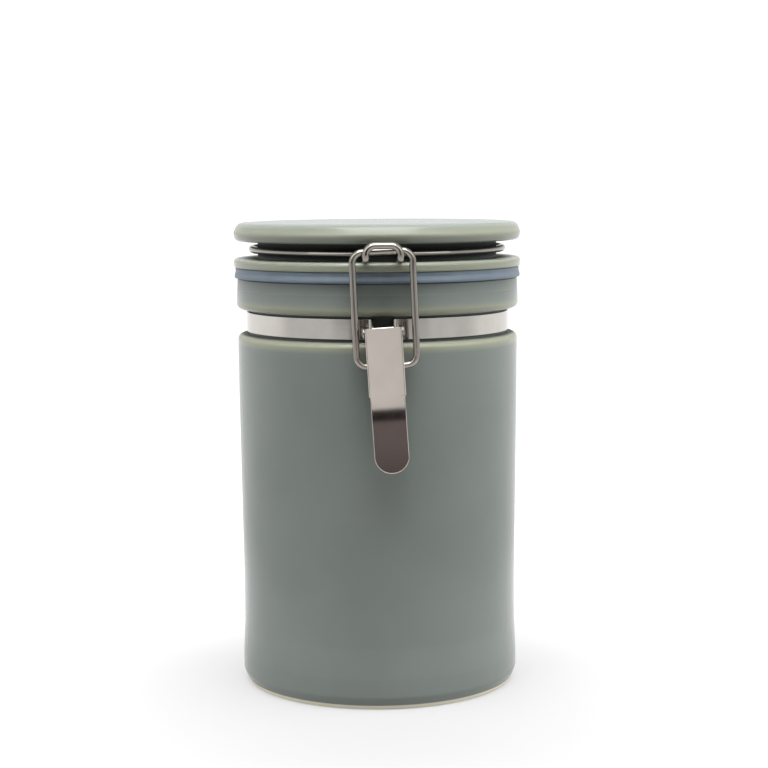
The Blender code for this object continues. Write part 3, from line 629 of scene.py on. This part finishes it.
def claspLever():
    v = lever
    bm = leverSheet()
    shapeWalls(bm)
    growLip(bm)
    tidyFaces(bm)
    piece = thickened(toObject(bm, "claspLever", pressedSheet), v["sheet"], -1)
    bm = bmesh.new()
    bm.from_mesh(piece.data)
    bendTab(bm)
    bmesh.ops.transform(bm, matrix=Matrix.Translation(pivot * mm) @ leverTurn, verts=bm.verts)
    bm.to_mesh(piece.data)
    bm.free()
    softEdged(piece, v["edge"])
    holdFlat(piece, v["flatFrom"])
    cutHole(piece, pivot, v["pinHole"])
    cutHole(piece, pivot + leverTurn @ Vector(v["bail"]), v["bailHole"])
    shade(piece, 30)
    # keeps the face mirror flat up to its folds
    normals = piece.modifiers.new("normals", "WEIGHTED_NORMAL")
    normals.keep_sharp = True
    return applied(piece)


fit(claspLever(), "lever", "clasp_lever")


# lever pin, headed at both ends

pin = {
    "profile": [
        (0, 6.2, 0), (1.0, 6.12, 0.7), (1.5, 5.92, 0.4), (1.7, 5.62, 0.3), (1.68, 5.45, 0.05),
        (0.9, 5.45, 0.05), (0.9, 0, 0),
    ],
    "steps": 48,
}


def leverPin():
    bm = bmesh.new()
    verts = chain(bm, [(radius, 0, height) for radius, height, _ in pin["profile"]])
    for vert, (_, _, rounding) in zip(verts, pin["profile"]):
        roundCorner(bm, vert, rounding, segments=4)
    bmesh.ops.mirror(bm, geom=bm.verts[:] + bm.edges[:], matrix=Matrix.Identity(4),
                     merge_dist=0.01 * mm, axis="Z")
    spinRound(bm, pin["steps"])
    tidyFaces(bm)
    turn = Matrix.Translation(pivot * mm) @ leverTurn @ Matrix.Rotation(pi / 2, 4, "Y")
    bmesh.ops.transform(bm, matrix=turn, verts=bm.verts)
    piece = toObject(bm, "leverPin", drawnWire)
    shade(piece)
    return piece


fit(leverPin(), "lever", "lever_pin")


# bail: one loop of wire whose ends nearly meet inside the lever

bail = {
    "half": 8.5, "corner": 3.0, "thickness": 2.0, "lean": -2.3, "shift": 0.5, "endGap": 0.2,
    "topReach": 45.9, "topHeight": 132.9,
}


def bailWire():
    b = bail
    foot = pivot + leverTurn @ Vector(lever["bail"])
    rise = (b["topHeight"] - foot.z) / cos(radians(b["lean"]))
    up = (-b["topReach"] - foot.y, rise)
    half = b["half"]
    corners = [(b["endGap"], 0, 0), (half, 0, 0), (half, *up), (-half, *up), (-half, 0, 0),
               (-b["endGap"], 0, 0)]
    bm = bmesh.new()
    verts = chain(bm, [(x + b["shift"], y, z) for x, y, z in corners])
    for vert in verts[1:-1]:
        roundCorner(bm, vert, b["corner"], segments=10)
    turn = Matrix.Translation(foot * mm) @ Matrix.Rotation(radians(b["lean"]), 4, "Y")
    bmesh.ops.transform(bm, matrix=turn, verts=bm.verts)
    return drawWire(bm, "bailWire", b["thickness"])


fit(bailWire(), "bail", "bail_wire")


# studio, in metres: white sweep, soft light from above and both sides, a dark room behind the camera

studio = {
    "floor": "#7c7c7c", "floorRoughness": 0.95, "glow": 0.375, "farGlow": 1.0,
    "shade": (0, -0.06, 0), "shadeReach": 0.28, "bounce": 0.33, "bounceReach": 0.32,
    "mirrorFront": 0.78, "mirrorBack": 1.15, "mirrorDepth": (-0.2, 0.3), "mirrorFrom": 0.12,
    "mirrorFull": 0.25, "world": 0.03, "backdrop": 1.15, "mirrorSky": 0.87, "aim": (0, 0, 0.07),
    "lights": {  # place, size and radiance
        "keyFill": ((0.0, -0.25, 1.0), (0.90, 0.42), 13.0),
        "keyGlow": ((0.0, -0.42, 0.94), (0.80, 0.76), 4.3),
        "overheadFill": ((0.0, -0.12, 0.97), (1.40, 1.50), 1.7),
        "overheadGlow": ((0.0, -0.12, 0.97), (1.40, 1.50), 2.5),
        "leftFill": ((-0.92, -0.02, 0.42), (0.80, 0.72), 2.4),
        "rightFill": ((0.92, 0.0, 0.42), (0.80, 0.72), 4.3),
        "backFill": ((0.0, 0.95, 0.45), (0.90, 0.70), 1.3),
    },
    "cards": {  # place, size, colour and strength of what the canister mirrors from behind the camera
        "cameraStand": ((-0.04, -0.95, 0.126), (1.0, 0.092), "#ffeef7", 0.014),
        "darkRoom": ((-0.04, -0.95, 0.299), (1.0, 0.254), "#ffeef1", 0.158),
        "leftTableEdge": ((-0.164, -0.63, 0.065), (0.232, 0.13), "#ffece7", 0.05),
        "rightTableEdge": ((0.137, -0.63, 0.065), (0.166, 0.13), "#ffece7", 0.05),
        "leftShelf": ((-0.40, -0.63, 0.1), (0.24, 0.06), "#ffede7", 0.04),
        "rightShelf": ((0.395, -0.63, 0.1), (0.35, 0.06), "#ffede7", 0.04),
        "frontWindow": ((0.0, -0.95, 1.02), (4.4, 0.96), "#fffffd", 2.4),
    },
}


def seenRays(tree):  # 1 for what the camera sees itself, in a mirror or through glass
    rays = addNode(tree, "ShaderNodeLightPath")
    seen = addNode(tree, "ShaderNodeMath", {"operation": "MAXIMUM"},
                   {0: rays.outputs["Is Camera Ray"], 1: rays.outputs["Is Glossy Ray"]})
    seen = addNode(tree, "ShaderNodeMath", {"operation": "MAXIMUM"},
                   {0: seen.outputs["Value"], 1: rays.outputs["Is Transmission Ray"]})
    return seen.outputs["Value"]


def sweepMaterial():
    # matt white paper that keeps a soft shadow near the canister and runs out to plain white; its glow is
    # least round a spot just in front of the canister, which paints a soft shade there besides the real
    # shadow
    material, tree, shader = newMaterial("matt white paper", {"Base Color": studio["floor"],
                                                              "Roughness": studio["floorRoughness"],
                                                              "Emission Color": "#ffffff"})
    spot = addNode(tree, "ShaderNodeTexCoord").outputs["Object"]
    away = addNode(tree, "ShaderNodeVectorMath", {"operation": "LENGTH"}, {0: spot}).outputs["Value"]
    reach = addNode(tree, "ShaderNodeVectorMath", {"operation": "DISTANCE", 1: studio["shade"]},
                    {0: spot}).outputs["Value"]
    # painted shade: what the camera and mirrors see of the paper glows less near the shade spot
    far = addNode(tree, "ShaderNodeMapRange",
                  {"interpolation_type": "SMOOTHSTEP", "From Max": studio["shadeReach"],
                   "To Min": studio["glow"], "To Max": studio["farGlow"]}, {"Value": reach})
    bounce = addNode(tree, "ShaderNodeMapRange",
                     {"interpolation_type": "SMOOTHSTEP", "From Max": studio["bounceReach"],
                      "To Min": studio["bounce"], "To Max": 0.0}, {"Value": away})
    glow = addNode(tree, "ShaderNodeMix", {"data_type": "FLOAT"},
                   {0: seenRays(tree), 2: bounce.outputs["Result"], 3: far.outputs["Result"]})
    tree.links.new(glow.outputs[0], shader.inputs["Emission Strength"])
    # mirrors see the far paper at a level of its own, which rises towards the back
    depth = addNode(tree, "ShaderNodeSeparateXYZ", {}, {"Vector": spot}).outputs["Y"]
    near, rear = studio["mirrorDepth"]
    level = addNode(tree, "ShaderNodeMapRange",
                    {"From Min": near, "From Max": rear, "To Min": studio["mirrorFront"],
                     "To Max": studio["mirrorBack"]}, {"Value": depth})
    paper = addNode(tree, "ShaderNodeEmission", {}, {"Strength": level.outputs["Result"]})
    distant = addNode(tree, "ShaderNodeMapRange",
                      {"From Min": studio["mirrorFrom"], "From Max": studio["mirrorFull"]},
                      {"Value": away})
    mirrored = addNode(tree, "ShaderNodeMath", {"operation": "MULTIPLY"},
                       {0: addNode(tree, "ShaderNodeLightPath").outputs["Is Glossy Ray"],
                        1: distant.outputs["Result"]})
    both = addNode(tree, "ShaderNodeMixShader", {},
                   {0: mirrored.outputs["Value"], 1: shader.outputs["BSDF"], 2: paper.outputs["Emission"]})
    tree.links.new(both.outputs["Shader"], tree.nodes["Material Output"].inputs["Surface"])
    return material


def whiteWorld():
    world = bpy.data.worlds.new("white studio")
    world.use_nodes = True
    bpy.context.scene.world = world
    tree = world.node_tree
    back = tree.nodes["Background"]
    back.inputs["Color"].default_value = linear("#ffffff")
    level = addNode(tree, "ShaderNodeMapRange",
                    {"To Min": studio["world"], "To Max": studio["backdrop"]}, {"Value": seenRays(tree)})
    mirrored = addNode(tree, "ShaderNodeMix", {"data_type": "FLOAT", 3: studio["mirrorSky"]},
                       {0: addNode(tree, "ShaderNodeLightPath").outputs["Is Glossy Ray"],
                        2: level.outputs["Result"]})
    tree.links.new(mirrored.outputs[0], back.inputs["Strength"])


def panel(name, size, centre, turn, material):
    bm = bmesh.new()
    bmesh.ops.create_grid(bm, x_segments=1, y_segments=1, size=0.5)
    bmesh.ops.scale(bm, verts=bm.verts, vec=(size[0], size[1], 1))
    bmesh.ops.transform(bm, matrix=Matrix.Translation(centre) @ turn, verts=bm.verts)
    piece = toObject(bm, name, material)
    return piece


def softbox(name, centre, size, radiance):
    lamp = bpy.data.lights.new(name, "AREA")
    lamp.shape, lamp.size, lamp.size_y = "RECTANGLE", size[0], size[1]
    lamp.energy = radiance * pi * size[0] * size[1]
    piece = bpy.data.objects.new(name, lamp)
    piece.location = centre
    piece.rotation_euler = (Vector(centre) - Vector(studio["aim"])).to_track_quat("Z", "Y").to_euler()
    piece.visible_camera = False
    piece.visible_glossy = "Glow" in name  # the fills leave no patch in the glaze
    piece.visible_diffuse = "Fill" in name  # the glows are seen only as highlights
    bpy.context.scene.collection.objects.link(piece)


panel("paperSweep", (12, 12), (0, 0, 0), Matrix.Identity(4), sweepMaterial())
whiteWorld()
for name, (centre, size, radiance) in studio["lights"].items():
    softbox(name, centre, size, radiance)
upright = Matrix.Rotation(pi / 2, 4, "X")
for name, (centre, size, colour, strength) in studio["cards"].items():
    material, _, _ = newMaterial(name, {"Base Color": "#000000", "Roughness": 1.0, "IOR": 1.0,
                                        "Emission Color": colour, "Emission Strength": strength})
    card = panel(name, size, centre, upright, material)
    card.visible_camera = card.visible_shadow = card.visible_diffuse = False
print("studio lit")


# camera: found by fitting the canister's round edges in the photograph

view = {
    "distance": 560, "height": 152.5, "turn": -2.0, "pitch": 6.31, "yaw": 0.19, "roll": -0.4,
    "focalPixels": 1836.3, "pixels": 768, "sensor": 36,
}


def photographCamera():
    v = view
    lens = bpy.data.cameras.new("camera")
    lens.sensor_width = v["sensor"]
    lens.lens = v["focalPixels"] / v["pixels"] * v["sensor"]
    lens.clip_start, lens.clip_end = 0.01, 50
    camera = bpy.data.objects.new("camera", lens)
    bpy.context.scene.collection.objects.link(camera)
    pitch, yaw, roll = (radians(v[name]) for name in ("pitch", "yaw", "roll"))
    ahead = Vector((sin(yaw) * cos(pitch), cos(yaw) * cos(pitch), -sin(pitch)))
    right = Vector((cos(yaw), -sin(yaw), 0))
    up = right.cross(ahead)
    right, up = cos(roll) * right + sin(roll) * up, -sin(roll) * right + cos(roll) * up
    aim = Matrix((right, up, -ahead)).transposed().to_4x4()
    aim.translation = Vector((0, -v["distance"], v["height"])) * mm
    camera.matrix_world = Matrix.Rotation(radians(v["turn"]), 4, "Z") @ aim
    bpy.context.scene.camera = camera


photographCamera()
bpy.context.scene.view_settings.view_transform = "Standard"
print("camera set")
